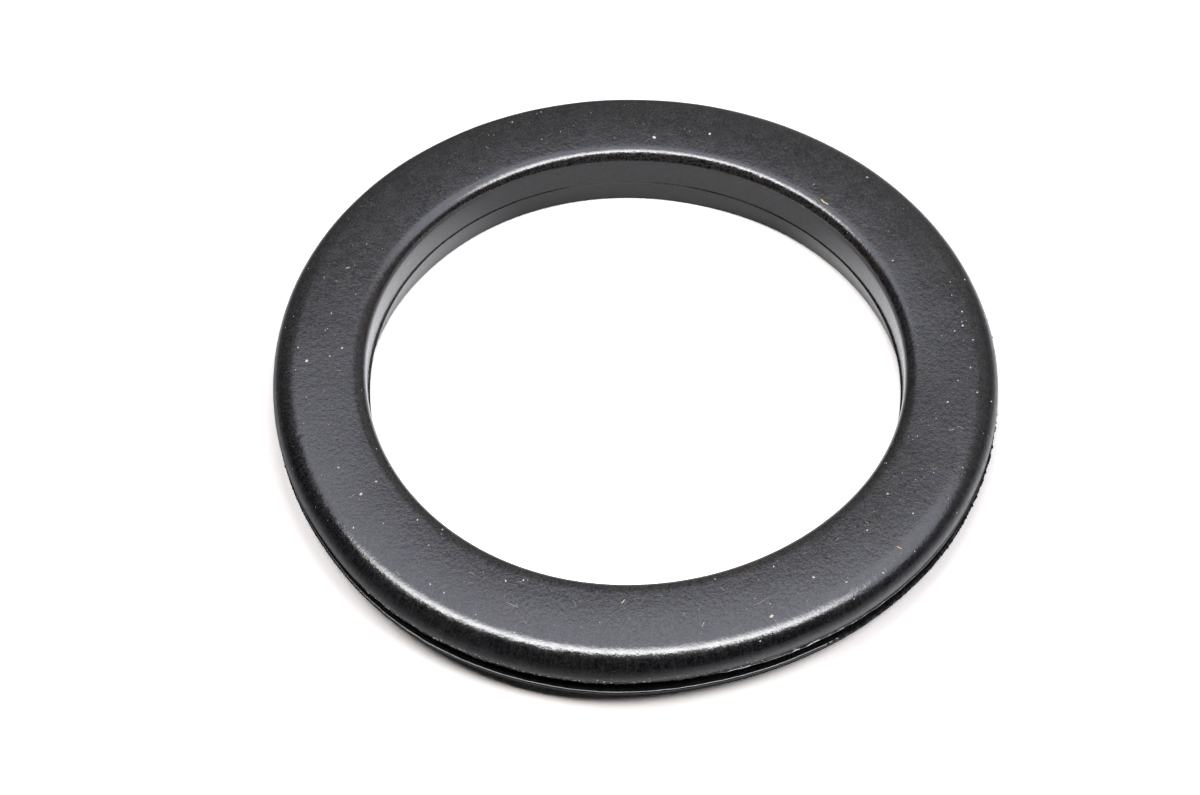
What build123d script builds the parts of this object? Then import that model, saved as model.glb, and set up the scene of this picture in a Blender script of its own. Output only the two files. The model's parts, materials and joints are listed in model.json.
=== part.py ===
from build123d import *
import os

# Grooved rubber gasket: one moulded ring that snaps into a round hole in a panel.
# A rounded upper flange and a rounded lower flange stand proud of a narrow groove,
# which holds the panel's edge. The bore is plain above the mould's parting plane
# and flares below it, with a thin flash ridge where the two mould halves met.
#
# Millimetres, +Z up. The origin is on the ring's axis, in the plane of its bottom face.

# ---- driving dimensions ----------------------------------------------------------
outer_diameter = 100.0        # over either flange
ring_width = 13.0             # radial, from the bore's wall to the flanges' rims
height = 10.4                 # bottom face to top face
lower_flange = 4.3            # thickness below the groove
groove_width = 2.5            # thickness of panel that the groove takes
groove_depth = 5.0            # radial, from the rims to the groove's root

groove_mouth_bevel = 0.15     # takes the knife edge off both sides of the groove's mouth
bore_top_radius = 1.9         # round between the top face and the bore
bore_flare = 0.75             # radial widening of the bore, parting plane to bottom face
flash_height = 0.2            # how far the parting ridge stands into the bore
flash_width = 0.4             # width of that ridge at its foot

# ---- sizes that follow from them --------------------------------------------------
rim = outer_diameter / 2
bore = rim - ring_width
groove_root = rim - groove_depth
groove_floor = lower_flange
groove_ceiling = lower_flange + groove_width
upper_flange = height - groove_ceiling
parting_plane = groove_floor                          # the mould opens at the groove's floor
lower_round = lower_flange - groove_mouth_bevel       # each rim is one full quarter round,
upper_round = upper_flange - groove_mouth_bevel       # from its flat face to the groove's mouth


def lower_flange_outline():
    """From the bore's bottom corner, round the lower rim, to the groove's root."""
    flat = Line((bore + bore_flare, 0), (rim - lower_round, 0))
    rim_round = CenterArc((rim - lower_round, lower_round), lower_round, -90, 90)
    bevel = Line(rim_round @ 1, (rim - groove_mouth_bevel, groove_floor))
    floor = Line(bevel @ 1, (groove_root, groove_floor))
    return [flat, rim_round, bevel, floor]


def upper_flange_outline():
    """From the groove's root, round the upper rim, to the bore's plain wall."""
    root = Line((groove_root, groove_floor), (groove_root, groove_ceiling))
    ceiling = Line(root @ 1, (rim - groove_mouth_bevel, groove_ceiling))
    bevel = Line(ceiling @ 1, (rim, groove_ceiling + groove_mouth_bevel))
    rim_round = CenterArc((rim - upper_round, height - upper_round), upper_round, 0, 90)
    flat = Line(rim_round @ 1, (bore + bore_top_radius, height))
    return [root, ceiling, bevel, rim_round, flat]


def bore_outline():
    """Down the bore: top round, plain wall, parting ridge and flare."""
    top_round = CenterArc(
        (bore + bore_top_radius, height - bore_top_radius), bore_top_radius, 90, 90
    )
    wall = Line(top_round @ 1, (bore, parting_plane + flash_width / 2))
    ridge_top = Line(wall @ 1, (bore - flash_height, parting_plane))
    ridge_bottom = Line(ridge_top @ 1, (bore, parting_plane - flash_width / 2))
    flare = Line(ridge_bottom @ 1, (bore + bore_flare, 0))
    return [top_round, wall, ridge_top, ridge_bottom, flare]


def gasket_ring():
    """The whole ring: its half section turned once about the vertical axis."""
    outline = Wire(lower_flange_outline() + upper_flange_outline() + bore_outline())
    half_section = Plane.XZ * make_face(outline)
    return revolve(half_section, axis=Axis.Z, revolution_arc=360)


os.makedirs("parts", exist_ok=True)
export_step(gasket_ring(), "parts/gasket.step")
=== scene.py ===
import json
import math
import random

import bmesh
import bpy
from mathutils import Matrix, Vector, noise


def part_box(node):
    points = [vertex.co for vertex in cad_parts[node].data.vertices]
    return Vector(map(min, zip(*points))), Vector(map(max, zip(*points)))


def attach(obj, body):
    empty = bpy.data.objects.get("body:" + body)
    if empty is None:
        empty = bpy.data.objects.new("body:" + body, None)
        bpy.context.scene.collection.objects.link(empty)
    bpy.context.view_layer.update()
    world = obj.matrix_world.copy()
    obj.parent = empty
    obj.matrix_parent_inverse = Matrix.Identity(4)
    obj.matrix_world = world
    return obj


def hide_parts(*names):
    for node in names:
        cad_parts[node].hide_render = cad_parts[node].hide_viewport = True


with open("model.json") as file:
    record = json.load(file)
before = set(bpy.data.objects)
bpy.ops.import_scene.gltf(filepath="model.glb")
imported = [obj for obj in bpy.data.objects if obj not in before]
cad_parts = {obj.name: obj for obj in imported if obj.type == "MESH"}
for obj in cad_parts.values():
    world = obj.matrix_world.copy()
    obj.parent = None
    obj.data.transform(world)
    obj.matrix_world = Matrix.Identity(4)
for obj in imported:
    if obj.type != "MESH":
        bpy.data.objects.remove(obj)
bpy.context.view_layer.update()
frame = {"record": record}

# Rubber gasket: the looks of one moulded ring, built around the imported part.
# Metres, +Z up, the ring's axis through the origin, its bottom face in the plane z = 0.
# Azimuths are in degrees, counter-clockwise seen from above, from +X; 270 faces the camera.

MM = 0.001

# ---- sizes from the frame --------------------------------
LOW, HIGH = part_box("gasket")
MOUNTS = {mount["name"]: mount for mount in frame["record"]["mounts"]}
RIM = (HIGH.x - LOW.x) / 2
HEIGHT = HIGH.z - LOW.z
BORE = MOUNTS["bore"]["dims"]["r_mm"] * MM
GROOVE_MIDDLE = MOUNTS["panel_groove"]["pos_m"][2]

# ---- the rest of the section -----------------------------
# The groove, the round into the bore and the flare are the part's own.
GROOVE_WIDTH = 2.5 * MM
GROOVE_DEPTH = 5.0 * MM
BORE_TOP_ROUND = 1.9 * MM
BORE_FLARE = 0.75 * MM
RIDGE_WIDTH = 0.4 * MM
# These are small roundings where the part has bevels, or a plain corner at the bore's foot.
UPPER_LIP_ROUND = 0.15 * MM        # at the groove's mouth
LOWER_LIP_ROUND = 0.26 * MM
BORE_FOOT_ROUND = 0.25 * MM
LOWER_TUCK = 12                    # degrees that the lower rim already leans in at its lip
GROOVE_FLOOR = GROOVE_MIDDLE - GROOVE_WIDTH / 2
GROOVE_CEILING = GROOVE_MIDDLE + GROOVE_WIDTH / 2
PARTING = GROOVE_FLOOR
LOWER_ROUND = GROOVE_FLOOR - LOWER_LIP_ROUND * (1 + math.sin(math.radians(LOWER_TUCK)))
UPPER_ROUND = HEIGHT - GROOVE_CEILING - UPPER_LIP_ROUND
FLAT_OUTER = RIM - UPPER_ROUND     # the top face's flat band
FLAT_INNER = BORE + BORE_TOP_ROUND

# ---- mesh density ----------------------------------------
SLICES = 1080                      # round the ring
FLASH_SLICES = 3600                # round a whole strip of flash
SHARP_ANGLE = math.radians(32)     # where the section turns more than this it is a corner
OVAL_POINTS = 8                    # in a bead of flash
FIBRE_STEPS = 9                    # along a bit of lint
FIBRE_SIDES = 5

# ---- shapes of specks and lint ---------------------------
FLAKE_LUMP = 0.22                  # how far a speck's points are in or out, as a share
FLAKE_STRETCH = (0.7, 1.35)
FLAKE_LIFT = 0.4                   # its middle above the surface, in its own half heights
FIBRE_LIFT = 0.6                   # a thread's middle above the surface, in its own half widths
FIBRE_TIP = 0.45                   # how thick a thread is at its ends
FIBRE_WANDER = 0.12                # radians that it may turn by chance at each step

# ---- how far this moulding is from a true ring -----------
# Each wave is (lobes, cosine part, sine part).
FACE_WAVES = [(0, -0.05 * MM, 0), (3, -0.20 * MM, 0.15 * MM)]
RADIAL_WAVES = [(2, 0.20 * MM, -0.03 * MM), (3, 0.23 * MM, 0.09 * MM)]
FACE_CROWN = 0.083 * MM            # how much higher the middle of the top face is than its edges
FACE_RIPPLE = 0.012 * MM
RIM_RIPPLE = 0.02 * MM
RIDGE_HEIGHT = 0.16 * MM           # the parting ridge in the bore, on average
RIDGE_WAVES = [(2, 0.08 * MM, 0)]  # it stands out more at the sides than at the back
RIDGE_RIPPLE = 0.025 * MM
LIP_WOBBLE = 0.05 * MM
LIP_REACH = 0.5 * MM               # how far from a lip its wobble is felt
BORE_BLEND = 1.0 * MM              # on the top face, where the bore's own shift fades out

# Spans are azimuths from and to, and the fade past them, in degrees.
# Where the lower flange stands out, or in: (span, how far).
LOWER_SHIFTS = [((328, 358, 20), 0.10 * MM), ((200, 226, 14), -0.16 * MM)]
# Where both rims lean out towards the groove: (span, how far at the groove).
RIM_LEANS = [((234, 262, 24), 0.46 * MM), ((308, 325, 12), 0.12 * MM)]
BORE_IN = 0.22 * MM                # the bore stands in this much at the front
BORE_IN_SPAN = (245, 295, 50)
FOOT_IN = 0.30 * MM                # and its foot at the back
FOOT_IN_SPAN = (80, 135, 30)

# Where the flash is.
SKIRT_SPAN = (232, 296, 14)        # under the upper lip
SKIRT_ELSEWHERE = 0.12             # how much of it there is round the rest
SKIRT_LEAST = 0.20 * MM            # how far it hangs down anyway, on average more, and at a tear
SKIRT_DROP = 0.36 * MM
SKIRT_TEAR = 0.45 * MM
SKIRT_CURL = 0.06 * MM
LOWER_FLASH_RIGHT = (306, 366, 12)
LOWER_FLASH_LEFT = (172, 208, 12)
LOWER_FLASH_LEFT_SHARE = 0.6       # how far it stands out at the left, as a share of the right
LOWER_FLASH_INSIDE = 0.20 * MM     # how far in and down its middle is where it doesn't stand out
LOWER_FLASH_HALF = 0.10 * MM
FIN_STRIP = (282, 352)             # azimuths that the fin's mesh covers
FIN_START, FIN_GROWS = 281, 4      # it grows over this many degrees from here
FIN_END, FIN_FADES = 356, 25       # and fades over this many degrees up to here
FIN_BROKEN = (284, 300, 3)
FIN_REACH = 0.30 * MM              # how much further out its tip is than its ends
FIN_BELOW = 0.44 * MM              # the tip's place below the groove's upper wall
FIN_THICKNESS = 0.05 * MM
FIN_ROOT = 1.0 * MM                # how far in from the rim it grows out of the upper wall

# Dents in the skin: (azimuth, radius, half width, depth).
DENTS = [
    (197, 47.2 * MM, 0.6 * MM, 0.045 * MM),
    (258, 47.8 * MM, 0.45 * MM, 0.06 * MM),
    (314, 44.5 * MM, 0.7 * MM, 0.02 * MM),
]

# ---- camera ----------------------------------------------
IMAGE_WIDTH = 1200
FOCAL_PIXELS = 2800
SENSOR_WIDTH = 36.0
CAMERA_DISTANCE = 394.3 * MM
CAMERA_ELEVATION = math.radians(53.56)
CAMERA_TARGET = Vector((-4.7 * MM, 0.32 * MM, 0))
CAMERA_ROLL = math.radians(-0.54)
CAMERA_CLIP = (0.01, 20.0)

# ---- floor -----------------------------------------------
FLOOR_HALF = 3.0
FLOOR_GAP = 0.02 * MM
FLOOR_COLOUR = (0.60, 0.59, 0.58, 1)
# What the camera sees: white, as if overexposed, and painted lighter close to the ring's foot, painted
# light over the contact shadow there.
FLOOR_SEEN = (1.30, 1.245, 1.20, 1)
PAINTED_FOOT_LIGHT_SEEN = (1.95, 1.87, 1.80, 1)
PAINTED_FOOT_LIGHT_REACH = (48.5 * MM, 50.3 * MM)
# What reflections see: painted light and shade on the floor. Outside the ring it is painted brighter to
# the right.
OUTER_SPAN = (-10 * MM, 70 * MM)
PAINTED_OUTER_LIGHT = (0.78, 1.75)
PAINTED_DIMMING_SPAN = (50 * MM, 78 * MM)    # painted dimmer away from the ring
PAINTED_FAR_LIGHT = 0.13
PAINTED_FOOT_SHADE_SPAN = (52.5 * MM, 55.5 * MM)    # and painted shade close to the ring's foot
PAINTED_FOOT_SHADE = 0.12
INNER_LEFT = (-14 * MM, -36 * MM)  # inside the bore it is painted bright at both sides
INNER_RIGHT = (19 * MM, 36 * MM)
PAINTED_INNER_LIGHT = (0.38, 1.85)
BORE_EDGE = 2 * MM                 # under the ring, where the inside turns into the outside

# ---- light -----------------------------------------------
# The studio is a flat ceiling over the ring. Places and half sizes on it are in ceiling
# heights, (across, back) from straight above; a turn is counter-clockwise, in radians.
SOFTBOX_CENTRE = (0.04, -0.132)
SOFTBOX_HALF = (0.84, 0.208)
SOFTBOX_TURN = -0.25
SOFTBOX_SQUARE = 4.0               # 2 is an ellipse, more is squarer
SOFTBOX_EDGE = 0.25                # width of its soft edge, in half sizes
SOFTBOX_RADIANCE = 5.6             # at its middle
SOFTBOX_SLOPE = 1.0                # how much brighter its front edge is, and its back edge darker
CEILING_CENTRE = (0.523, 0.113)    # the patch of ceiling that the soft box spills on
CEILING_HALF = (1.259, 0.461)
CEILING_TURN = -0.231
CEILING_SQUARE = 3.5
CEILING_EDGE = 0.35
CEILING_RADIANCE = 1.10
CEILING_TINT = (0.95, 0.97, 1.14, 1)
WHITE = (1, 1, 1, 1)
WALL_MEAN = 0.130                  # radiance of the walls, well above the horizon
WALL_RIGHT = 0.067                 # how much brighter they are to the right, and to the back
WALL_BACK = 0.075
WALL_ENDS = -0.073                 # and at both ends, and in the corner at the back right
WALL_CORNER = 0.043
WALL_RISE = 0.385                  # sine of the elevation where they reach it
HORIZON_RIGHT = 0.034              # radiance at the horizon
HORIZON_BACK = 0.165
WALL_FRONT = (-0.75, -0.10)        # towards the camera there is no wall: dark before, lit after
WALL_FALL = 2.0                    # how fast the walls fade out towards straight above
SMALLEST_HEIGHT = 0.001            # keeps the ceiling's own axes finite at the horizon
SMALLEST_LEVEL = 0.000001
LIGHT_MAP_SIZE = 1024              # how finely the studio is sampled as a light


# ---- shape: the section ----------------------------------

def wave(azimuth, waves):
    """Sum of the waves round the ring at an azimuth in radians."""
    total = 0.0
    for lobes, cosine_part, sine_part in waves:
        total += cosine_part * math.cos(lobes * azimuth)
        total += sine_part * math.sin(lobes * azimuth)
    return total


def ripple(azimuth, length, layer):
    """Smooth noise of about -1 to 1 round the ring, its features as long as given."""
    along = RIM / length
    spot = Vector((along * math.cos(azimuth), along * math.sin(azimuth), 7.3 * layer))
    return 1.4 * noise.noise(spot)


def smooth(share):
    share = min(max(share, 0.0), 1.0)
    return share * share * (3 - 2 * share)


def between(azimuth, start, end, fade):
    """1 from start to end, in degrees, fading to 0 outside them; azimuth is in radians."""
    middle = (start + end) / 2
    turned = (math.degrees(azimuth) - middle + 180) % 360 - 180
    return smooth(1 - (abs(turned) - (end - start) / 2) / fade)


def line(start, end, steps):
    """Points from start up to, but not including, end."""
    points = []
    for step in range(steps):
        share = step / steps
        points.append((
            start[0] + (end[0] - start[0]) * share,
            start[1] + (end[1] - start[1]) * share,
        ))
    return points


def arc(centre, radius, start_degrees, turn_degrees, steps):
    """Points on an arc, its end left out."""
    points = []
    for step in range(steps):
        angle = math.radians(start_degrees + turn_degrees * step / steps)
        points.append((
            centre[0] + radius * math.cos(angle),
            centre[1] + radius * math.sin(angle),
        ))
    return points


def section():
    """The ring's closed half section as (radius, height) points, anticlockwise from the bottom."""
    upper_lip = RIM - UPPER_LIP_ROUND
    root = RIM - GROOVE_DEPTH
    wall_top = HEIGHT - BORE_TOP_ROUND
    foot = BORE + BORE_FLARE
    lean_cos = math.cos(math.radians(LOWER_TUCK))
    lean_sin = math.sin(math.radians(LOWER_TUCK))
    rim_radius = LOWER_ROUND / (lean_cos - lean_sin)
    rim_centre = (RIM - rim_radius * lean_cos, LOWER_ROUND + rim_radius * lean_sin)
    lip_centre = (RIM - LOWER_LIP_ROUND * lean_cos, GROOVE_FLOOR - LOWER_LIP_ROUND)
    points = arc((foot + BORE_FOOT_ROUND, BORE_FOOT_ROUND), BORE_FOOT_ROUND, -170, 80, 4)
    points += line((foot + BORE_FOOT_ROUND, 0), (RIM - LOWER_ROUND, 0), 3)
    points += arc(rim_centre, rim_radius, LOWER_TUCK - 90, 90 - 2 * LOWER_TUCK, 12)
    points += arc(lip_centre, LOWER_LIP_ROUND, -LOWER_TUCK, 90 + LOWER_TUCK, 6)
    points += line((lip_centre[0], GROOVE_FLOOR), (root, GROOVE_FLOOR), 2)
    points += line((root, GROOVE_FLOOR), (root, GROOVE_CEILING), 1)
    points += line((root, GROOVE_CEILING), (upper_lip, GROOVE_CEILING), 2)
    points += arc((upper_lip, GROOVE_CEILING + UPPER_LIP_ROUND), UPPER_LIP_ROUND, -90, 90, 3)
    points += arc((FLAT_OUTER, HEIGHT - UPPER_ROUND), UPPER_ROUND, 0, 90, 18)
    points += line((FLAT_OUTER, HEIGHT), (FLAT_INNER, HEIGHT), 16)
    points += arc((FLAT_INNER, wall_top), BORE_TOP_ROUND, 90, 90, 12)
    points += line((BORE, wall_top), (BORE, PARTING + RIDGE_WIDTH / 2), 4)
    points += line((BORE, PARTING + RIDGE_WIDTH / 2), (BORE, PARTING), 1)
    points += line((BORE, PARTING), (BORE, PARTING - RIDGE_WIDTH / 2), 1)
    points += line((BORE, PARTING - RIDGE_WIDTH / 2), (foot, BORE_FOOT_ROUND), 4)
    return points


def corners(outline):
    """The section's corner points: where it turns sharply, and the parting ridge."""
    found = set()
    for point, (radius, height) in enumerate(outline):
        before = Vector(outline[point]) - Vector(outline[point - 1])
        after = Vector(outline[(point + 1) % len(outline)]) - Vector(outline[point])
        on_ridge = radius == BORE and abs(height - PARTING) < 0.6 * RIDGE_WIDTH
        if before.angle(after) > SHARP_ANGLE or on_ridge:
            found.add(point)
    return found


# ---- shape: the moulding's own unevenness ----------------

def crowned(radius, height):
    """The height once the top face's slight crown is added, fading down to the groove."""
    if height <= GROOVE_CEILING or radius < BORE:
        return height
    middle = (FLAT_OUTER + FLAT_INNER) / 2
    reach = abs(radius - middle) / (FLAT_OUTER - middle)
    drop = reach * reach if reach < 1 else 2 * reach - 1
    return height - FACE_CROWN * drop * (height - GROOVE_CEILING) / (HEIGHT - GROOVE_CEILING)


def dented(radius, azimuth):
    """How deep the dents are at a place on the top."""
    depth = 0.0
    for degrees, dent_radius, half_width, dent_depth in DENTS:
        turned = (math.degrees(azimuth) - degrees + 180) % 360 - 180
        away = math.hypot(math.radians(turned) * dent_radius, radius - dent_radius)
        depth += dent_depth * smooth(1 - away / half_width)
    return depth


def moulded(radius, height, azimuth):
    """A point of the true section, moved as this moulding has it."""
    r, z = radius, crowned(radius, height)
    from_upper_lip = math.hypot(radius - RIM, height - GROOVE_CEILING)
    from_lower_lip = math.hypot(radius - RIM, height - GROOVE_FLOOR)
    if from_upper_lip < LIP_REACH:
        z += LIP_WOBBLE * ripple(azimuth, 1.3 * MM, 1) * (1 - from_upper_lip / LIP_REACH)
    if from_lower_lip < LIP_REACH:
        r += LIP_WOBBLE * ripple(azimuth, 1.6 * MM, 2) * (1 - from_lower_lip / LIP_REACH)
    outward = (radius - RIM + GROOVE_DEPTH) / GROOVE_DEPTH
    if outward > 0:
        down = min((HEIGHT - height) / (HEIGHT - GROOVE_CEILING), 1.0)
        for span, lean in RIM_LEANS:
            r += lean * between(azimuth, *span) * outward * down
        if height <= GROOVE_FLOOR:
            for span, shift in LOWER_SHIFTS:
                r += shift * between(azimuth, *span) * outward
    inward = smooth((FLAT_INNER + BORE_BLEND - radius) / BORE_BLEND)
    r -= BORE_IN * between(azimuth, *BORE_IN_SPAN) * inward
    r -= FOOT_IN * between(azimuth, *FOOT_IN_SPAN) * inward * max(1 - height / PARTING, 0)
    if radius == BORE and height == PARTING:
        r -= RIDGE_HEIGHT + wave(azimuth, RIDGE_WAVES) + RIDGE_RIPPLE * ripple(azimuth, 9 * MM, 3)
    if height > GROOVE_CEILING:
        z += FACE_RIPPLE * ripple(azimuth, 7 * MM, 4) - dented(radius, azimuth)
        if radius > FLAT_OUTER:
            r += RIM_RIPPLE * ripple(azimuth, 6 * MM, 5)
    r += wave(azimuth, RADIAL_WAVES)
    z += wave(azimuth, FACE_WAVES) * height / HEIGHT
    return r, z


def at(azimuth, radius, height):
    return Vector((radius * math.cos(azimuth), radius * math.sin(azimuth), height))


def top_spot(degrees, radius):
    """Place and outward normal on the upper side, at an azimuth in degrees."""
    azimuth = math.radians(degrees)
    tilt = 0.0
    height = HEIGHT
    if radius > FLAT_OUTER:
        tilt = math.asin(min((radius - FLAT_OUTER) / UPPER_ROUND, 1.0))
        height = HEIGHT - UPPER_ROUND * (1 - math.cos(tilt))
    elif radius < FLAT_INNER:
        tilt = -math.asin(min((FLAT_INNER - radius) / BORE_TOP_ROUND, 1.0))
        height = HEIGHT - BORE_TOP_ROUND * (1 - math.cos(tilt))
    r, z = moulded(radius, height, azimuth)
    normal = at(azimuth, math.sin(tilt), math.cos(tilt))
    return at(azimuth, r, z), normal


# ---- pieces ----------------------------------------------

def new_piece(name, mesh, materials):
    """Links a mesh as a piece of the rubber ring."""
    piece = bpy.data.objects.new(name, mesh)
    bpy.context.scene.collection.objects.link(piece)
    for material in materials:
        mesh.materials.append(material)
    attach(piece, "root")
    return piece


def smooth_mesh(name, vertices, faces):
    mesh = bpy.data.meshes.new(name)
    mesh.from_pydata(vertices, [], faces)
    mesh.validate()
    mesh.shade_smooth()
    return mesh


def finished_piece(bm, name, materials):
    """Turns a filled bmesh into a piece."""
    mesh = bpy.data.meshes.new(name)
    bm.to_mesh(mesh)
    bm.free()
    return new_piece(name, mesh, materials)


def stitched(rows, count, closed):
    """Faces between rows of points round the ring: the rows meet if closed, else both ends get a cap."""
    faces = []
    for row in range(rows if closed else rows - 1):
        here = row * count
        there = (row + 1) % rows * count
        for point in range(count):
            after = (point + 1) % count
            faces.append((here + point, there + point, there + after, here + after))
    if not closed:
        last = (rows - 1) * count
        faces.append(tuple(range(count)))
        faces.append(tuple(range(last, last + count))[::-1])
    return faces


def build_ring(rubber):
    """The ring turned from its section, with the moulding's slow waves."""
    outline = section()
    count = len(outline)
    vertices = []
    for index in range(SLICES):
        azimuth = 2 * math.pi * index / SLICES
        for radius, height in outline:
            r, z = moulded(radius, height, azimuth)
            vertices.append(at(azimuth, r, z))
    mesh = smooth_mesh("gasket_rubber", vertices, stitched(SLICES, count, True))
    sharp = corners(outline)
    for edge in mesh.edges:
        first, second = edge.vertices
        if first % count == second % count and first % count in sharp:
            edge.use_edge_sharp = True
    ring = new_piece("gasket_rubber", mesh, [rubber])
    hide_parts("gasket")
    return ring


def build_flash(name, start, end, outline, material):
    """A strip of flash from one azimuth to another; outline(azimuth) gives its closed section."""
    closed = end - start >= 360
    steps = round(FLASH_SLICES * (end - start) / 360)
    vertices = []
    rows = steps if closed else steps + 1
    for step in range(rows):
        azimuth = math.radians(start + (end - start) * step / steps)
        points = outline(azimuth)
        for r, z in points:
            vertices.append(at(azimuth, r, z))
    mesh = smooth_mesh(name, vertices, stitched(rows, len(points), closed))
    return new_piece(name, mesh, [material])


def bead(centre_r, centre_z, half_r, half_z):
    """A closed oval section."""
    outline = []
    for point in range(OVAL_POINTS):
        angle = 2 * math.pi * point / OVAL_POINTS
        outline.append((centre_r + half_r * math.cos(angle), centre_z + half_z * math.sin(angle)))
    return outline


def ragged(azimuth, length, layer):
    """0 to 1: torn bits as long as given, with bare stretches between them."""
    rough = ripple(azimuth, length, layer) + 0.5 * ripple(azimuth, length / 2.3, layer + 0.5)
    return max(0.0, rough) ** 0.8


def upper_lip_flash(azimuth):
    """Torn skirt of skin that hangs from the upper flange's lip, most along the front."""
    r, z = moulded(RIM, GROOVE_CEILING + UPPER_LIP_ROUND, azimuth)
    skirt = SKIRT_ELSEWHERE + (1 - SKIRT_ELSEWHERE) * between(azimuth, *SKIRT_SPAN)
    tear = 0.6 * ripple(azimuth, 1.5 * MM, 11) + 0.5 * ripple(azimuth, 0.5 * MM, 12)
    drop = SKIRT_LEAST + skirt * max(0.05 * MM, SKIRT_DROP + SKIRT_TEAR * tear)
    curl = skirt * SKIRT_CURL * ripple(azimuth, 0.5 * MM, 19)
    return [
        (r - 0.30 * MM, z + 0.05 * MM),
        (r - 0.22 * MM, z - 0.5 * drop),
        (r - 0.08 * MM - 0.15 * drop - curl, z - drop - 0.02 * MM),
        (r - 0.02 * MM - 0.15 * drop - curl, z - drop),
        (r - 0.02 * MM + curl, z - 0.15 * MM),
        (r + 0.01 * MM, z + 0.02 * MM),
    ]


def lower_lip_flash(azimuth):
    """Skin on the lower flange's lip: torn bumps on the right and on the left, else just inside it."""
    r, z = moulded(RIM, GROOVE_FLOOR, azimuth)
    right = between(azimuth, *LOWER_FLASH_RIGHT)
    left = LOWER_FLASH_LEFT_SHARE * between(azimuth, *LOWER_FLASH_LEFT)
    share = max(right, left)
    bumps = max(0.0, 0.3 + 0.8 * ripple(azimuth, 0.42 * MM, 13))
    out = (0.06 * MM + 0.22 * MM * bumps) * share
    rise = (0.10 * MM + 0.08 * MM * bumps) * share
    return bead(
        r - LOWER_FLASH_INSIDE + out / 2, z - LOWER_FLASH_INSIDE + rise / 2,
        LOWER_FLASH_HALF + out / 2, LOWER_FLASH_HALF + rise / 2,
    )


def fin_flash(azimuth):
    """Thin fin that stands out of the groove just under the upper flange's lip, front right."""
    degrees = math.degrees(azimuth)
    r, z = moulded(RIM, GROOVE_CEILING, azimuth)
    broken = between(azimuth, *FIN_BROKEN)
    length = smooth((degrees - FIN_START) / FIN_GROWS) * smooth((FIN_END - degrees) / FIN_FADES)
    tip_r = r - 0.25 * MM + FIN_REACH * length + 0.03 * MM * ripple(azimuth, 1.1 * MM, 15)
    tip_z = z - FIN_BELOW + 0.04 * MM * ripple(azimuth, 2.5 * MM, 16)
    tip_z += 0.14 * MM * broken * ripple(azimuth, 2.0 * MM, 17)
    thick = FIN_THICKNESS * (1 + 0.8 * broken * ragged(azimuth, 1.2 * MM, 18))
    root_r = RIM - FIN_ROOT + wave(azimuth, RADIAL_WAVES)
    root_z = z + 0.04 * MM
    return [
        (tip_r, tip_z),
        (tip_r - 0.03 * MM, tip_z + 0.3 * thick),
        (tip_r - 0.17 * MM, tip_z + 0.9 * thick),
        (tip_r - 0.40 * MM, tip_z + 1.5 * thick),
        (root_r, root_z + 0.10 * MM),
        (root_r, root_z),
        (tip_r - 0.40 * MM, tip_z - 0.4 * thick),
        (tip_r - 0.03 * MM, tip_z - 0.7 * thick),
    ]


def add_flake(bm, spot, normal, size, flatness, rng, material_index):
    """One irregular speck that lies on the surface, its lowest part sunk into it."""
    made = bmesh.ops.create_icosphere(bm, subdivisions=1, radius=1.0)
    spin = Matrix.Rotation(rng.uniform(0, math.tau), 3, "Z")
    turn = normal.to_track_quat("Z", "Y").to_matrix() @ spin
    stretch = rng.uniform(*FLAKE_STRETCH)
    for vertex in made["verts"]:
        lump = 1 + rng.uniform(-FLAKE_LUMP, FLAKE_LUMP)
        flat = vertex.co.z * flatness
        local = Vector((vertex.co.x * stretch, vertex.co.y / stretch, flat)) * lump
        local.z += flatness * FLAKE_LIFT
        vertex.co = spot + turn @ (local * size)
    for face in {face for vertex in made["verts"] for face in vertex.link_faces}:
        face.material_index = material_index
        face.smooth = True


def add_fibre(bm, degrees, radius, length, heading, bend, thickness, rng, material_index=0):
    """One bit of lint on the top: a thin bent thread that follows the surface."""
    place = at(math.radians(degrees), radius, 0)
    direction = math.radians(heading)
    rings = []
    for step in range(FIBRE_STEPS + 1):
        azimuth = math.degrees(math.atan2(place.y, place.x))
        spot, normal = top_spot(azimuth, math.hypot(place.x, place.y))
        along = Vector((math.cos(direction), math.sin(direction), 0))
        sideways = normal.cross(along).normalized()
        taper = 1.0 if 0 < step < FIBRE_STEPS else FIBRE_TIP
        ring = []
        for side in range(FIBRE_SIDES):
            angle = math.tau * side / FIBRE_SIDES
            offset = sideways * math.cos(angle) + normal * (math.sin(angle) + FIBRE_LIFT)
            ring.append(bm.verts.new(spot + offset * thickness * taper))
        rings.append(ring)
        place = place + along * (length / FIBRE_STEPS)
        direction += math.radians(bend) / FIBRE_STEPS + rng.uniform(-FIBRE_WANDER, FIBRE_WANDER)
    for first, second in zip(rings, rings[1:]):
        for side in range(FIBRE_SIDES):
            after = (side + 1) % FIBRE_SIDES
            face = bm.faces.new((first[side], first[after], second[after], second[side]))
            face.smooth = True
            face.material_index = material_index
    for end in (rings[0][::-1], rings[-1]):
        bm.faces.new(end).material_index = material_index


# ---- materials -------------------------------------------

def sums(tree):
    """Short calls for the maths nodes of one tree: each takes numbers or sockets and gives a socket."""
    def node(operation, *terms):
        made = tree.nodes.new("ShaderNodeMath")
        made.operation = operation
        for place, term in enumerate(terms):
            if isinstance(term, (int, float)):
                made.inputs[place].default_value = term
            else:
                tree.links.new(term, made.inputs[place])
        return made.outputs[0]

    def fade(value, start, end, low, high):
        """low before start, high after end, and a smooth step between."""
        made = tree.nodes.new("ShaderNodeMapRange")
        made.interpolation_type = "SMOOTHSTEP"
        for name, number in (("From Min", start), ("From Max", end), ("To Min", low), ("To Max", high)):
            made.inputs[name].default_value = number
        tree.links.new(value, made.inputs["Value"])
        return made.outputs[0]

    return node, fade


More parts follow.
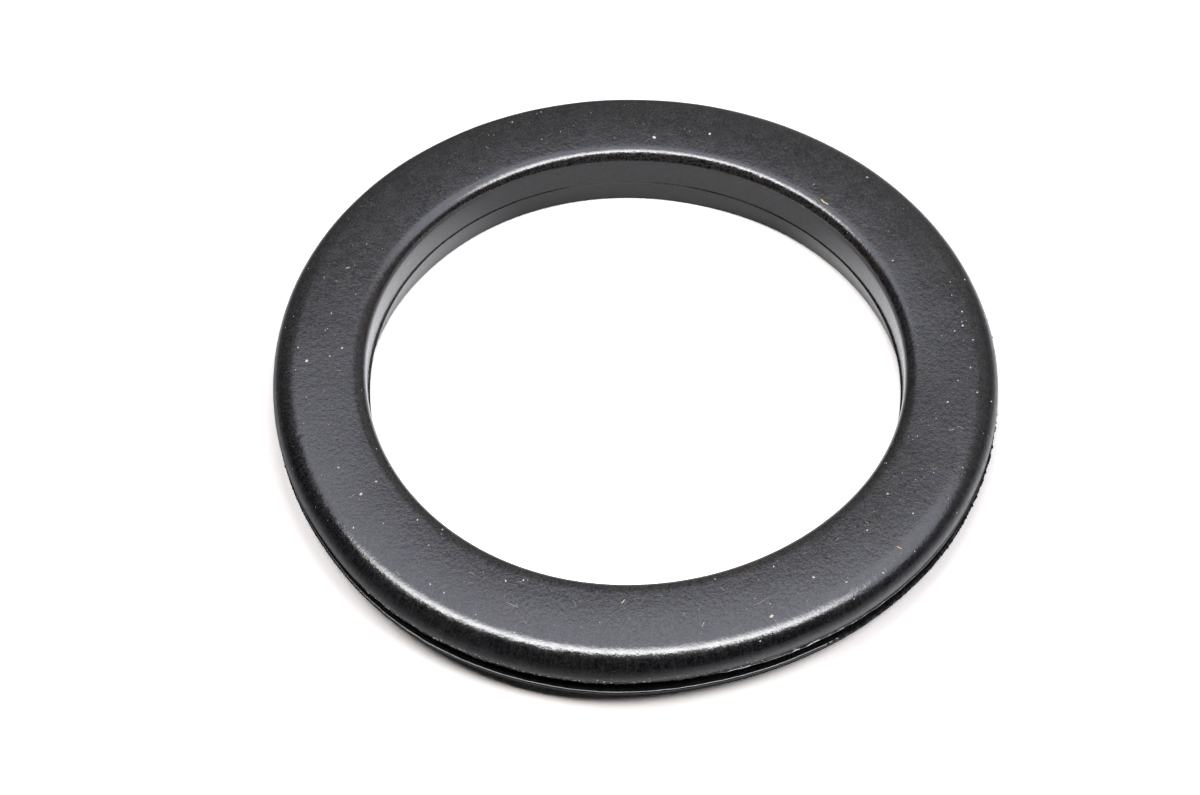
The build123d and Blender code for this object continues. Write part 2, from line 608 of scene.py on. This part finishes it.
def grain_node(tree, vector, size, detail=2.0, rough=0.55):
    """Noise with features of a real size, in metres."""
    made = tree.nodes.new("ShaderNodeTexNoise")
    made.inputs["Scale"].default_value = 1 / size
    made.inputs["Detail"].default_value = detail
    made.inputs["Roughness"].default_value = rough
    tree.links.new(vector, made.inputs["Vector"])
    return made.outputs["Fac"]


def blend_node(tree, factor, first, second):
    """A colour between two: each is a colour or a socket."""
    made = tree.nodes.new("ShaderNodeMix")
    made.data_type = "RGBA"
    tree.links.new(factor, made.inputs["Factor"])
    ends = [socket for socket in made.inputs if socket.type == "RGBA"]
    for socket, colour in zip(ends, (first, second)):
        if isinstance(colour, tuple):
            socket.default_value = colour
        else:
            tree.links.new(colour, socket)
    return [socket for socket in made.outputs if socket.type == "RGBA"][0]


def new_material(name):
    """A material, its node tree and its shader."""
    material = bpy.data.materials.new(name)
    material.use_nodes = True
    tree = material.node_tree
    return material, tree, tree.nodes["Principled BSDF"]


def surface_place(tree):
    """The place on the surface, in the piece's own frame."""
    return tree.nodes.new("ShaderNodeTexCoord").outputs["Object"]


def split_place(tree, place):
    """A place's x, y and z, and its distance from the ring's axis."""
    node, _ = sums(tree)
    parts = tree.nodes.new("ShaderNodeSeparateXYZ")
    tree.links.new(place, parts.inputs[0])
    x, y, z = parts.outputs
    distance = node("SQRT", node("ADD", node("MULTIPLY", x, x), node("MULTIPLY", y, y)))
    return x, y, z, distance


def add_bump(tree, shader, height, distance):
    """Bumps the shader's surface: a height of 1 stands out by the distance."""
    bump = tree.nodes.new("ShaderNodeBump")
    bump.inputs["Distance"].default_value = distance
    tree.links.new(height, bump.inputs["Height"])
    tree.links.new(bump.outputs[0], shader.inputs["Normal"])


def choose_node(tree, choice, first, second):
    """The first shader where the choice is 0, the second where it is 1."""
    made = tree.nodes.new("ShaderNodeMixShader")
    tree.links.new(choice, made.inputs[0])
    tree.links.new(first, made.inputs[1])
    tree.links.new(second, made.inputs[2])
    return made.outputs[0]


# ---- the rubber's surface --------------------------------
REFRACTION = 1.65
SPECULAR_LEVEL = 1.0
RUBBER_WARM = (0.0047, 0.0022, 0.0011, 1)
RUBBER_COOL = (0.0011, 0.0022, 0.0047, 1)
# the haze is the dust's colour, and at the front of the top also painted light
HAZE_AND_FRONT_LIGHT_WARM = (0.052, 0.044, 0.037, 1)
HAZE_AND_FRONT_LIGHT_COOL = (0.038, 0.044, 0.052, 1)
BROWN_DUST = (0.040, 0.021, 0.013, 1)

# Sizes of the noise, and heights of the relief in millimetres.
GRAIN_SIZE, GRAIN_HEIGHT = 0.26 * MM, 0.014
PEBBLE_SIZE, PEBBLE_HEIGHT = 0.6 * MM, 0.020
PEEL_SIZE, PEEL_HEIGHT = 1.6 * MM, 0.012
STREAK_SIZE, STREAK_HEIGHT = 0.30 * MM, 0.032
STREAK_CHANGE = 0.16               # how fast a streak changes along itself, against across it
CLOUD_SIZE = 9 * MM
WARMTH_SIZE = 0.7 * MM
SPECK_SIZE = 0.19 * MM

# Places where the surface changes, from and to.
FLAT_EDGE = (HEIGHT - 0.7 * MM, HEIGHT - 0.15 * MM)
STREAK_TOP = (HEIGHT - 1.8 * MM, HEIGHT - 0.8 * MM)
STREAK_INNER = (FLAT_INNER, FLAT_INNER + 2 * MM)
RIM_SIDE = (RIM - 2.2 * MM, RIM - 1.0 * MM)
RIM_LOW = (GROOVE_CEILING + 1.0 * MM, HEIGHT - 0.9 * MM)
RIM_FOOT = (GROOVE_CEILING - 0.3 * MM, GROOVE_CEILING)
BORE_ROUND = (FLAT_INNER - 1.4 * MM, FLAT_INNER + 0.3 * MM)
BORE_WALL = (BORE + 0.1 * MM, BORE + 0.8 * MM)
FRONT = (-48 * MM, -20 * MM)       # along y, where the painted light at the front of the top fades in

# Noise values over which each look grows from none to all.
TINT_RANGE = (0.36, 0.64)
WARMTH_RANGE = (0.38, 0.62)
PEEL_RANGE = (0.36, 0.64)
CLOUD_RANGE = (0.30, 0.70)
SPECK_RANGE = (0.62, 0.80)
STREAK_RANGE = (0.45, 0.75)
GRAIN_RANGE = (0.42, 0.60)
BROWN_RANGE = (0.35, 0.65)
SATIN_RANGE = (0.25, 0.75)

# How much of the dusty film there is: each is a share at its thickest. At the front of the top, part of it
# is painted light.
CLOUD_FILM = 0.03
WARMTH_FILM = 0.10
PEEL_FILM = 0.08
RUBBED_FILM = 0.25
GRAIN_FILM = 0.62
SPECK_FILM = 0.6
SPECKS_ON_FLAT, SPECKS_ANYWHERE = 0.4, 0.05
FRONT_GRAIN_AND_PAINTED_LIGHT = 1.8                   # grain on the top face at the very front, against the back: partly dust grain, partly painted light that lightens the front of the top
RIM_FILM = 0.45                    # and on the rim's side
BORE_FILM = 2.4                    # and on the bore's wall
STREAKS_INSIDE = 0.2               # streaks on the round into the bore, against the rim
BROWN_FILM = 0.25                  # brown dust on the round into the bore
TINT_ROUNDS = 0.2                  # how much of the top face's warm and cool tints the rounds have

SATIN = (0.14, 0.22)               # roughness, over the orange peel
RIM_ROUGHNESS = 0.22               # added on the rim's side
SPECK_ROUGHNESS = 0.25             # added on specks


def streak_noise(tree, node, x, y, z, radius):
    """Noise in streaks that run up the rims: along one, only the last coordinate changes, and slowly."""
    streaked = tree.nodes.new("ShaderNodeCombineXYZ")
    stretch = node("DIVIDE", RIM, radius)
    tree.links.new(node("MULTIPLY", x, stretch), streaked.inputs[0])
    tree.links.new(node("MULTIPLY", y, stretch), streaked.inputs[1])
    along = node("MULTIPLY", node("SUBTRACT", radius, z), STREAK_CHANGE)
    tree.links.new(along, streaked.inputs[2])
    return grain_node(tree, streaked.outputs[0], STREAK_SIZE, 1.0)


def rubber_material():
    """Satin black rubber: fine grain, mould streaks round the rims, a duller rim side, thin dust, and
    painted light that lightens the front of the top face.
    """
    material, tree, shader = new_material("rubber")
    shader.inputs["IOR"].default_value = REFRACTION
    shader.inputs["Specular IOR Level"].default_value = SPECULAR_LEVEL
    node, fade = sums(tree)
    place = surface_place(tree)
    x, y, z, radius = split_place(tree, place)

    grain = grain_node(tree, place, GRAIN_SIZE, 2.0, 0.6)
    pebble = grain_node(tree, place, PEBBLE_SIZE, 1.0)
    orange_peel = grain_node(tree, place, PEEL_SIZE)
    cloud = grain_node(tree, place, CLOUD_SIZE, 3.0)
    warmth = grain_node(tree, place, WARMTH_SIZE, 1.0)
    specks = grain_node(tree, place, SPECK_SIZE, 0.0)
    streaks = streak_noise(tree, node, x, y, z, radius)

    # Zones, each 1 where it holds.
    off_flat = fade(z, *FLAT_EDGE, 1, 0)
    on_flat = node("SUBTRACT", 1, off_flat)
    streaky = fade(radius, *STREAK_INNER, STREAKS_INSIDE, 1)
    down_the_rim = node("MULTIPLY", fade(z, *STREAK_TOP, 1, 0), streaky)
    rim_side = node("MULTIPLY", fade(radius, *RIM_SIDE, 0, 1), fade(z, *RIM_LOW, 1, 0))
    rim_side = node("MULTIPLY", rim_side, fade(z, *RIM_FOOT, 0, 1))
    bore_round = fade(radius, *BORE_ROUND, 1, 0)

    # Warm and cool black, by turns.
    spread = node("ADD", node("MULTIPLY", on_flat, 1 - TINT_ROUNDS), TINT_ROUNDS)
    hue = node("ADD", node("MULTIPLY", fade(warmth, *TINT_RANGE, -0.5, 0.5), spread), 0.5)
    black = blend_node(tree, hue, RUBBER_COOL, RUBBER_WARM)
    haze_and_front_light = blend_node(tree, hue, HAZE_AND_FRONT_LIGHT_COOL, HAZE_AND_FRONT_LIGHT_WARM)

    # A thin film of dust over it, from several sources.
    speck_share = node("ADD", node("MULTIPLY", on_flat, SPECKS_ON_FLAT), SPECKS_ANYWHERE)
    dust = node("MULTIPLY", fade(specks, *SPECK_RANGE, 0, 1), speck_share)
    peeled = fade(orange_peel, *PEEL_RANGE, 0, PEEL_FILM)
    blotch = node("ADD", fade(warmth, *WARMTH_RANGE, 0, WARMTH_FILM), peeled)
    clouded = node("MULTIPLY", node("ADD", fade(cloud, *CLOUD_RANGE, 0, CLOUD_FILM), blotch), on_flat)
    rubbed = node("MULTIPLY", fade(streaks, *STREAK_RANGE, 0, RUBBED_FILM), off_flat)
    rubbed = node("MULTIPLY", rubbed, streaky)
    # more grain at the very front of the top: partly dust, partly painted light that lightens the front
    top_grain_and_front_light = node("MULTIPLY", on_flat, fade(y, *FRONT, FRONT_GRAIN_AND_PAINTED_LIGHT, 1))
    off_top = node("MULTIPLY", off_flat, fade(radius, *RIM_SIDE, 1, RIM_FILM))
    off_top = node("MULTIPLY", off_top, fade(radius, *BORE_WALL, BORE_FILM, 1))
    fine = node("MULTIPLY", fade(grain, *GRAIN_RANGE, 0, GRAIN_FILM), node("ADD", top_grain_and_front_light, off_top))
    film_and_front_light = node("ADD", node("MULTIPLY", dust, SPECK_FILM), clouded)
    film_and_front_light = node("ADD", node("ADD", film_and_front_light, rubbed), fine)
    brown = node("MULTIPLY", bore_round, fade(orange_peel, *BROWN_RANGE, 0, BROWN_FILM))
    colour = blend_node(tree, brown, blend_node(tree, film_and_front_light, black, haze_and_front_light), BROWN_DUST)
    tree.links.new(colour, shader.inputs["Base Color"])

    roughness = fade(orange_peel, *SATIN_RANGE, *SATIN)
    roughness = node("ADD", roughness, node("MULTIPLY", rim_side, RIM_ROUGHNESS))
    roughness = node("ADD", roughness, node("MULTIPLY", dust, SPECK_ROUGHNESS))
    tree.links.new(roughness, shader.inputs["Roughness"])

    relief = node("MULTIPLY", grain, GRAIN_HEIGHT)
    relief = node("ADD", relief, node("MULTIPLY", pebble, PEBBLE_HEIGHT))
    relief = node("ADD", relief, node("MULTIPLY", orange_peel, PEEL_HEIGHT))
    relief = node("ADD", relief, node("MULTIPLY", node("MULTIPLY", streaks, down_the_rim), STREAK_HEIGHT))
    add_bump(tree, shader, relief, MM)
    return material


# ---- the small pieces' surfaces --------------------------
TORN_BLACK = (0.003, 0.003, 0.003, 1)
TORN_GREY = (0.022, 0.020, 0.019, 1)
TORN_SPECULAR = 0.3
TORN_ROUGHNESS = (0.55, 0.85)
TORN_ROUGHNESS_RANGE = (0.3, 0.7)
TORN_DUST = 0.6
TORN_DUST_RANGE = (0.50, 0.75)
TORN_SIZE = 0.12 * MM
TORN_HEIGHT = 0.03 * MM

DUST_COLOURS = [(0.92, 0.90, 0.86, 1), (0.88, 0.80, 0.66, 1), (0.92, 0.92, 0.92, 1), (0.90, 0.80, 0.76, 1)]
THREAD_COLOURS = [(0.74, 0.68, 0.58, 1), (0.70, 0.70, 0.70, 1)]
STRAW_COLOURS = [(0.95, 0.62, 0.22, 1), (0.92, 0.80, 0.52, 1)]
SKIN_COLOURS = [(0.20, 0.18, 0.16, 1), (0.60, 0.56, 0.52, 1)]
COLOUR_STOPS = (0.34, 0.66)        # noise values of the first colour and of the last
MOTTLE_COLOUR = (0.35, 0.32, 0.29, 1)
MOTTLE_SHARE = 0.3
MOTTLE_RANGE = (0.4, 0.8)
MOTTLE_SIZE = 0.08 * MM
MOTTLE_HEIGHT = 0.03 * MM
MATT = 0.85


def torn_material():
    """Matt black torn rubber."""
    material, tree, shader = new_material("torn_rubber")
    shader.inputs["Specular IOR Level"].default_value = TORN_SPECULAR
    node, fade = sums(tree)
    crumble = grain_node(tree, surface_place(tree), TORN_SIZE, 2.0)
    colour = blend_node(tree, fade(crumble, *TORN_DUST_RANGE, 0, TORN_DUST), TORN_BLACK, TORN_GREY)
    tree.links.new(colour, shader.inputs["Base Color"])
    roughness = fade(crumble, *TORN_ROUGHNESS_RANGE, *TORN_ROUGHNESS)
    tree.links.new(roughness, shader.inputs["Roughness"])
    add_bump(tree, shader, crumble, TORN_HEIGHT)
    return material


def speck_material(name, colours, size):
    """Matt specks or lint; the colour wanders from one piece to the next."""
    material, tree, shader = new_material(name)
    shader.inputs["Roughness"].default_value = MATT
    node, fade = sums(tree)
    place = surface_place(tree)
    ramp = tree.nodes.new("ShaderNodeValToRGB")
    ramp.color_ramp.interpolation = "LINEAR"
    stops = ramp.color_ramp.elements
    while len(stops) < len(colours):
        stops.new(0.5)
    low, high = COLOUR_STOPS
    for index, colour in enumerate(colours):
        stops[index].position = low + (high - low) * index / (len(colours) - 1)
        stops[index].color = colour
    tree.links.new(grain_node(tree, place, size, 1.0), ramp.inputs[0])
    mottle = grain_node(tree, place, MOTTLE_SIZE, 2.0)
    colour = blend_node(tree, fade(mottle, *MOTTLE_RANGE, 0, MOTTLE_SHARE), ramp.outputs[0], MOTTLE_COLOUR)
    tree.links.new(colour, shader.inputs["Base Color"])
    add_bump(tree, shader, mottle, MOTTLE_HEIGHT)
    return material


# ---- dust and lint ---------------------------------------

# Larger specks that the photograph shows: (azimuth, radius, half width), mm.
LARGE_SPECKS = [
    (86, 40.6, 0.30), (75, 42.6, 0.24), (182, 45.1, 0.27), (213, 43.1, 0.24),
    (293, 46.3, 0.30), (212, 40.4, 0.18), (246, 40.4, 0.18), (303, 43.6, 0.20),
    (326, 40.9, 0.16), (61, 37.9, 0.26), (10, 46.0, 0.16), (179, 40.3, 0.17),
    (179, 46.4, 0.14), (206, 43.9, 0.15), (218, 46.7, 0.15), (224, 39.5, 0.14),
    (229, 38.3, 0.14), (235, 45.7, 0.15), (249, 39.5, 0.14), (25, 40.0, 0.15),
    (44, 46.8, 0.15), (17, 48.3, 0.14), (7, 45.6, 0.17), (6, 44.3, 0.14),
    (358, 45.9, 0.14), (353, 46.9, 0.14), (350, 43.1, 0.15), (317, 42.4, 0.15),
    (325, 45.3, 0.14), (313, 48.2, 0.13), (307, 46.5, 0.15), (298, 39.6, 0.13),
]

# Lint and scuffs: (azimuth, radius, length, heading, bend in degrees, half thickness), mm.
STRAW = [
    (46.5, 39.0, 1.5, 305, 25, 0.12),
    (160, 43.2, 0.6, 20, 20, 0.055),
    (318, 46.8, 0.7, 320, 30, 0.08),
    (268, 40.6, 0.8, 35, 15, 0.07),
]
LINT = [
    (248, 43.4, 1.8, 340, -8, 0.026),
    (291, 43.9, 2.4, 22, 10, 0.022),
    (281.5, 45.2, 0.9, 62, 10, 0.038),
    (344, 44.0, 1.0, 350, 60, 0.026),
    (345, 45.0, 1.0, 15, -70, 0.026),
    (335, 44.0, 0.9, 330, 120, 0.020),
    (229, 46.9, 0.9, 300, 40, 0.018),
    (318, 42.0, 0.9, 80, 90, 0.018),
]

SEED = 20
RANDOM_SPECKS = 330
RANDOM_SPECK_SIZE = 0.048          # half width in mm, and how much it varies, as a share
RANDOM_SPECK_SPREAD = 0.42
LARGEST_RANDOM = 0.12 * MM
BARE_BACK = (25, 150, 15)          # fewer specks lie there
BARE_BACK_SHARE = 0.6              # this share of them is left out
DUST_RADII = (BORE / MM + 0.6, RIM / MM - 0.4)
LARGE_FLATNESS, RANDOM_FLATNESS = 0.3, 0.35
# Short threads at random: how many, and from what to what each may be, in mm and degrees.
RANDOM_LINT = 14
LINT_RADII = (39.5, 46.0)
LINT_LENGTHS = (0.4, 1.1)
LINT_BENDS = (-80, 80)
LINT_THICKNESSES = (0.012, 0.020)

# Crumbs of rubber on the rim: (azimuth, half width), degrees and mm.
CRUMBS = [(6.7, 0.13), (10.2, 0.10), (3.0, 0.08), (334, 0.10)]
CRUMB_RISE = 0.6 * MM              # above the groove
CRUMB_FLATNESS = 0.8
LIP_BITS = 300                     # fine bits of torn skin on the upper lip
LIP_BITS_SPAN = (226, 300)
LIP_BIT_SIZE, LIP_BIT_SPREAD = 0.055, 0.40
LIP_BITS_RISE = 0.32               # mm that most of them are above their lowest place
LIP_BITS_OUT = 0.03 * MM           # and that lowest place, from the upper lip
LIP_BITS_LOW = 0.10 * MM
LIP_BIT_FLATNESS = 0.6


def build_dust(material, rng):
    """The large specks where the photograph shows them, and small ones at random."""
    bm = bmesh.new()
    for degrees, radius, size in LARGE_SPECKS:
        spot, normal = top_spot(degrees, radius * MM)
        add_flake(bm, spot, normal, size * MM, LARGE_FLATNESS, rng, 0)
    for _ in range(RANDOM_SPECKS):
        degrees = rng.uniform(0, 360)
        radius = rng.uniform(*DUST_RADII) * MM
        size = RANDOM_SPECK_SIZE * math.exp(rng.gauss(0, RANDOM_SPECK_SPREAD)) * MM
        if rng.random() < BARE_BACK_SHARE * between(math.radians(degrees), *BARE_BACK):
            continue
        spot, normal = top_spot(degrees, radius)
        add_flake(bm, spot, normal, min(size, LARGEST_RANDOM), RANDOM_FLATNESS, rng, 0)
    return finished_piece(bm, "dust_specks", [material])


def build_lint(thread, straw, rng):
    """Threads and bits of straw where the photograph shows them, and short threads at random."""
    bm = bmesh.new()
    for index, threads in enumerate((LINT, STRAW)):
        for degrees, radius, length, heading, bend, thickness in threads:
            add_fibre(bm, degrees, radius * MM, length * MM, heading, bend, thickness * MM, rng, index)
    for _ in range(RANDOM_LINT):
        add_fibre(
            bm, rng.uniform(0, 360), rng.uniform(*LINT_RADII) * MM, rng.uniform(*LINT_LENGTHS) * MM,
            rng.uniform(0, 360), rng.uniform(*LINT_BENDS), rng.uniform(*LINT_THICKNESSES) * MM, rng,
        )
    return finished_piece(bm, "lint", [thread, straw])


def build_crumbs(rubber, skin, rng):
    """Crumbs of rubber on the rim at the right, and fine bits of torn skin along the lip in front."""
    bm = bmesh.new()
    for degrees, size in CRUMBS:
        azimuth = math.radians(degrees)
        r, z = moulded(RIM, GROOVE_CEILING + CRUMB_RISE, azimuth)
        add_flake(bm, at(azimuth, r, z), at(azimuth, 1, 0), size * MM, CRUMB_FLATNESS, rng, 0)
    for _ in range(LIP_BITS):
        azimuth = math.radians(rng.uniform(*LIP_BITS_SPAN))
        above = abs(rng.gauss(0, LIP_BITS_RISE)) * MM
        size = LIP_BIT_SIZE * math.exp(rng.gauss(0, LIP_BIT_SPREAD)) * MM
        r, z = moulded(RIM, GROOVE_CEILING + UPPER_LIP_ROUND, azimuth)
        spot = at(azimuth, r + LIP_BITS_OUT, z - LIP_BITS_LOW + above)
        add_flake(bm, spot, at(azimuth, 1, 0), min(size, LARGEST_RANDOM), LIP_BIT_FLATNESS, rng, 1)
    return finished_piece(bm, "rim_crumbs", [rubber, skin])


# ---- stage -----------------------------------------------

def painted_floor_light_in_gloss(tree, x, distance):
    """Painted light and shade on the floor as reflections see it, by place; the sizes above say where it
    changes.
    """
    node, fade = sums(tree)
    outer = node("MULTIPLY", fade(x, *OUTER_SPAN, *PAINTED_OUTER_LIGHT), fade(distance, *PAINTED_DIMMING_SPAN, 1, PAINTED_FAR_LIGHT))
    outer = node("MULTIPLY", outer, fade(distance, *PAINTED_FOOT_SHADE_SPAN, PAINTED_FOOT_SHADE, 1))
    inner = node("MAXIMUM", fade(x, *INNER_LEFT, *PAINTED_INNER_LIGHT), fade(x, *INNER_RIGHT, *PAINTED_INNER_LIGHT))
    inside = fade(distance, BORE, BORE + BORE_EDGE, 1, 0)
    outside = node("SUBTRACT", 1, inside)
    return node("ADD", node("MULTIPLY", inner, inside), node("MULTIPLY", outer, outside))


def floor_material():
    """A pale matt floor, which the camera sees overexposed, as white, with the contact shadow kept but
    painted lighter close to the ring's foot; reflections see painted light and shade on it.
    """
    material = bpy.data.materials.new("floor_white")
    material.use_nodes = True
    tree = material.node_tree
    tree.nodes.clear()
    node, fade = sums(tree)
    x, _, _, distance = split_place(tree, surface_place(tree))
    lit = tree.nodes.new("ShaderNodeBsdfDiffuse")
    lit.inputs["Color"].default_value = FLOOR_COLOUR
    # reflections see the floor's painted light and shade instead of its plain colour
    painted_reflection_floor = tree.nodes.new("ShaderNodeBsdfDiffuse")
    tree.links.new(painted_floor_light_in_gloss(tree, x, distance), painted_reflection_floor.inputs["Color"])
    exposed = tree.nodes.new("ShaderNodeBsdfDiffuse")
    # painted light: the floor the camera sees is painted lighter close to the ring's foot
    away = fade(distance, *PAINTED_FOOT_LIGHT_REACH, 0, 1)
    tree.links.new(blend_node(tree, away, PAINTED_FOOT_LIGHT_SEEN, FLOOR_SEEN), exposed.inputs["Color"])
    rays = tree.nodes.new("ShaderNodeLightPath").outputs
    unseen = choose_node(tree, rays["Is Glossy Ray"], lit.outputs[0], painted_reflection_floor.outputs[0])
    seen = choose_node(tree, rays["Is Camera Ray"], unseen, exposed.outputs[0])
    output = tree.nodes.new("ShaderNodeOutputMaterial")
    tree.links.new(seen, output.inputs["Surface"])
    return material


def build_floor():
    mesh = bpy.data.meshes.new("floor")
    vertices = []
    for x, y in ((-1, -1), (1, -1), (1, 1), (-1, 1)):
        vertices.append((x * FLOOR_HALF, y * FLOOR_HALF, -FLOOR_GAP))
    mesh.from_pydata(vertices, [], [(0, 1, 2, 3)])
    mesh.materials.append(floor_material())
    floor = bpy.data.objects.new("floor", mesh)
    bpy.context.scene.collection.objects.link(floor)
    return floor


def studio_light(tree):
    """Radiance by direction, as two sockets: the tinted ceiling, and the soft box with the walls."""
    node, fade = sums(tree)
    coordinates = tree.nodes.new("ShaderNodeTexCoord")
    parts = tree.nodes.new("ShaderNodeSeparateXYZ")
    tree.links.new(coordinates.outputs["Generated"], parts.inputs[0])
    across, back, up = parts.outputs
    height = node("MAXIMUM", up, SMALLEST_HEIGHT)
    ceiling_x = node("DIVIDE", across, height)
    ceiling_y = node("DIVIDE", back, height)

    def own_axes(centre, half_size, turn):
        """A patch's own two coordinates, -1 to 1 across it."""
        x = node("SUBTRACT", ceiling_x, centre[0])
        y = node("SUBTRACT", ceiling_y, centre[1])
        long_way = node("ADD", node("MULTIPLY", x, math.cos(turn)), node("MULTIPLY", y, math.sin(turn)))
        across_part = node("MULTIPLY", x, math.sin(turn))
        short_way = node("SUBTRACT", node("MULTIPLY", y, math.cos(turn)), across_part)
        return node("DIVIDE", long_way, half_size[0]), node("DIVIDE", short_way, half_size[1])

    def reach(u, v, power):
        """1 on the patch's outline: an ellipse for power 2, squarer above that."""
        long_part = node("POWER", node("ABSOLUTE", u), power)
        short_part = node("POWER", node("ABSOLUTE", v), power)
        return node("POWER", node("ADD", long_part, short_part), 1 / power)

    def patch(u, v, power, edge, radiance):
        """A patch's light: even inside its outline, with a soft edge."""
        return fade(reach(u, v, power), 1 - edge / 2, 1 + edge / 2, radiance, 0)

    above = node("GREATER_THAN", up, 0)
    u, v = own_axes(SOFTBOX_CENTRE, SOFTBOX_HALF, SOFTBOX_TURN)
    box = patch(u, v, SOFTBOX_SQUARE, SOFTBOX_EDGE, SOFTBOX_RADIANCE)
    slope = node("MULTIPLY", node("MAXIMUM", node("MINIMUM", v, 1.0), -1.0), SOFTBOX_SLOPE)
    box = node("MULTIPLY", box, node("MAXIMUM", node("SUBTRACT", 1.0, slope), 0))
    u, v = own_axes(CEILING_CENTRE, CEILING_HALF, CEILING_TURN)
    ceiling = patch(u, v, CEILING_SQUARE, CEILING_EDGE, CEILING_RADIANCE)

    flat_share = node("SUBTRACT", 1.0, node("MULTIPLY", up, up))
    level = node("SQRT", node("MAXIMUM", flat_share, SMALLEST_LEVEL))
    right = node("DIVIDE", across, level)
    rear = node("DIVIDE", back, level)
    wall = node("ADD", node("MULTIPLY", right, WALL_RIGHT), WALL_MEAN)
    wall = node("ADD", wall, node("MULTIPLY", rear, WALL_BACK))
    wall = node("ADD", wall, node("MULTIPLY", node("MULTIPLY", right, right), WALL_ENDS))
    wall = node("ADD", wall, node("MULTIPLY", node("MULTIPLY", right, rear), WALL_CORNER))
    wall = node("MULTIPLY", node("MAXIMUM", wall, 0), fade(rear, *WALL_FRONT, 0, 1))
    horizon = node("ADD", node("MULTIPLY", right, HORIZON_RIGHT), node("MULTIPLY", rear, HORIZON_BACK))
    horizon = node("MAXIMUM", horizon, 0)
    rise = fade(up, 0, WALL_RISE, 0, 1)
    walls = node("ADD", horizon, node("MULTIPLY", node("SUBTRACT", wall, horizon), rise))
    walls = node("MULTIPLY", walls, node("MINIMUM", node("MULTIPLY", level, WALL_FALL), 1.0))
    return node("MULTIPLY", ceiling, above), node("ADD", node("MULTIPLY", box, above), walls)


def background_node(tree, colour, strength):
    """Light of one colour; the strength is a number or a socket."""
    made = tree.nodes.new("ShaderNodeBackground")
    made.inputs["Color"].default_value = colour
    if isinstance(strength, float):
        made.inputs["Strength"].default_value = strength
    else:
        tree.links.new(strength, made.inputs["Strength"])
    return made.outputs[0]


def build_world():
    """The studio lights the object and shows in its gloss; the camera itself sees plain white."""
    world = bpy.data.worlds.new("studio")
    bpy.context.scene.world = world
    world.use_nodes = True
    tree = world.node_tree
    tree.nodes.clear()
    ceiling_light, other_light = studio_light(tree)
    studio = tree.nodes.new("ShaderNodeAddShader")
    tree.links.new(background_node(tree, CEILING_TINT, ceiling_light), studio.inputs[0])
    tree.links.new(background_node(tree, WHITE, other_light), studio.inputs[1])
    backdrop = background_node(tree, WHITE, 1.0)
    rays = tree.nodes.new("ShaderNodeLightPath").outputs
    output = tree.nodes.new("ShaderNodeOutputWorld")
    choice = choose_node(tree, rays["Is Camera Ray"], studio.outputs[0], backdrop)
    tree.links.new(choice, output.inputs["Surface"])
    world.cycles.sampling_method = "MANUAL"
    world.cycles.sample_map_resolution = LIGHT_MAP_SIZE


def build_camera():
    data = bpy.data.cameras.new("camera")
    data.sensor_fit = "HORIZONTAL"
    data.sensor_width = SENSOR_WIDTH
    data.lens = FOCAL_PIXELS / IMAGE_WIDTH * SENSOR_WIDTH
    data.clip_start, data.clip_end = CAMERA_CLIP
    camera = bpy.data.objects.new("camera", data)
    bpy.context.scene.collection.objects.link(camera)
    position = CAMERA_DISTANCE * Vector((0, -math.cos(CAMERA_ELEVATION), math.sin(CAMERA_ELEVATION)))
    forward = (CAMERA_TARGET - position).normalized()
    level = forward.cross(Vector((0, 0, 1))).normalized()
    upright = level.cross(forward)
    right = math.cos(CAMERA_ROLL) * level + math.sin(CAMERA_ROLL) * upright
    up = math.cos(CAMERA_ROLL) * upright - math.sin(CAMERA_ROLL) * level
    camera.matrix_world = Matrix((
        (right.x, up.x, -forward.x, position.x),
        (right.y, up.y, -forward.y, position.y),
        (right.z, up.z, -forward.z, position.z),
        (0, 0, 0, 1),
    ))
    bpy.context.scene.camera = camera


def build_all():
    rng = random.Random(SEED)
    rubber = rubber_material()
    dust = speck_material("dust", DUST_COLOURS, 6 * MM)
    thread = speck_material("lint", THREAD_COLOURS, 8 * MM)
    straw = speck_material("straw", STRAW_COLOURS, 3 * MM)
    skin = speck_material("torn_skin", SKIN_COLOURS, 0.9 * MM)
    build_ring(rubber)
    build_flash("upper_lip_flash", 0, 360, upper_lip_flash, rubber)
    build_flash("lower_lip_flash", 0, 360, lower_lip_flash, torn_material())
    build_flash("fin_flash", *FIN_STRIP, fin_flash, rubber)
    build_dust(dust, rng)
    build_lint(thread, straw, rng)
    build_crumbs(rubber, skin, rng)
    build_floor()
    build_world()
    build_camera()


build_all()
bpy.context.scene.view_settings.view_transform = "Standard"
